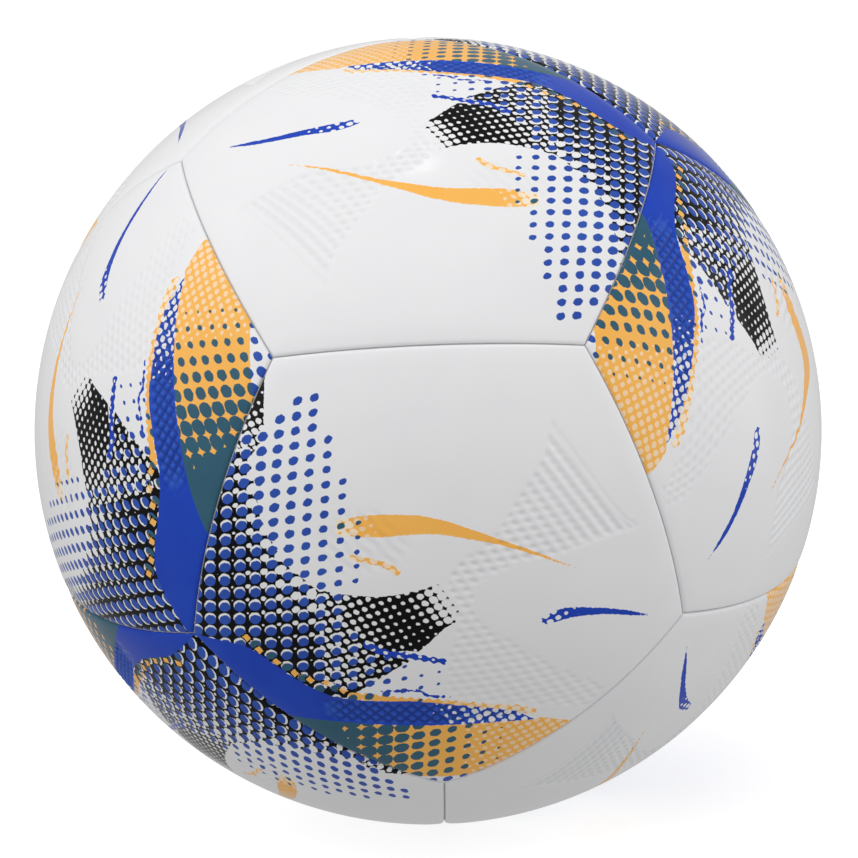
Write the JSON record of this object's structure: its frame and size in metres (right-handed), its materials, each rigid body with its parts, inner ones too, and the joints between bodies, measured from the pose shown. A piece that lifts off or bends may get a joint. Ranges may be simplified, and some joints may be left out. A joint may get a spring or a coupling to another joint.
{
  "type": "soccer ball",
  "caption": "Round futsal ball of five-sided bonded panels with a halftone print and raised ribs, over foam, cloth, a wound carcass and a rubber bladder with a needle valve.",
  "frame": {"origin": "the ball's centre", "axes": "+Z out through a corner where three seams meet, -Y to the front, the valve in the back panel towards +Y, 10.8 degrees above the XY plane"},
  "size_m": [0.2, 0.2, 0.2],
  "materials": {
    "cover": "gloss",
    "foam": "matte",
    "backing": "matte",
    "bond": "satin",
    "carcass": "matte",
    "bladder": "matte",
    "valve": "matte",
    "plug": "matte",
    "collar": "satin"
  },
  "bodies": {
    "root": {"backing_cloth_01": "backing", "backing_cloth_02": "backing", "backing_cloth_03": "backing", "backing_cloth_04": "backing", "backing_cloth_05": "backing", "backing_cloth_06": "backing", "backing_cloth_07": "backing", "backing_cloth_08": "backing", "backing_cloth_09": "backing", "backing_cloth_10": "backing", "backing_cloth_11": "backing", "backing_cloth_12": "backing", "bladder": "bladder", "carcass": "carcass", "cover_panel_01": "cover", "cover_panel_02": "cover", "cover_panel_03": "cover", "cover_panel_04": "cover", "cover_panel_05": "cover", "cover_panel_06": "cover", "cover_panel_07": "cover", "cover_panel_08": "cover", "cover_panel_09": "cover", "cover_panel_10": "cover", "cover_panel_11": "cover", "cover_panel_12": "cover", "foam_pad_01": "foam", "foam_pad_02": "foam", "foam_pad_03": "foam", "foam_pad_04": "foam", "foam_pad_05": "foam", "foam_pad_06": "foam", "foam_pad_07": "foam", "foam_pad_08": "foam", "foam_pad_09": "foam", "foam_pad_10": "foam", "foam_pad_11": "foam", "foam_pad_12": "foam", "seam_bond": "bond", "valve_body": "valve", "valve_collar": "collar", "valve_patch": "bladder", "valve_plug": "plug"}
  },
  "joints": []
}
